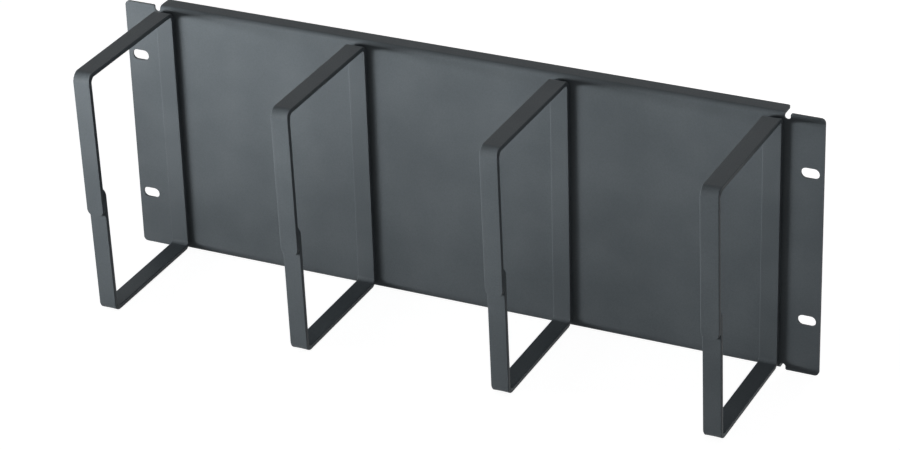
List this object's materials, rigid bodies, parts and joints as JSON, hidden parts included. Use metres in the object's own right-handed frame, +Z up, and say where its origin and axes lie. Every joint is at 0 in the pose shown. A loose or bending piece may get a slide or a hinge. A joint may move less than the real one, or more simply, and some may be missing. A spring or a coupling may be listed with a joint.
{
  "type": "rack cable management panel",
  "caption": "Folded steel rack panel with slotted ears, flanges turned back, and upright flat-bar rings welded to its front that gather and carry cables.",
  "frame": {"origin": "middle of the four rack slots, on the back of the ears, where they meet the rack's rails", "axes": "+X along the panel, +Y back into the rack, +Z up"},
  "size_m": [0.4826, 0.1192, 0.177],
  "materials": {
    "panel_coat": "dark grey powder coat, fine texture, satin",
    "ring_coat": "dark grey powder coat, fine texture, satin"
  },
  "bodies": {
    "root": {"panel": "panel_coat", "ring_1": "ring_coat", "ring_2": "ring_coat", "ring_3": "ring_coat", "ring_4": "ring_coat"}
  },
  "joints": []
}
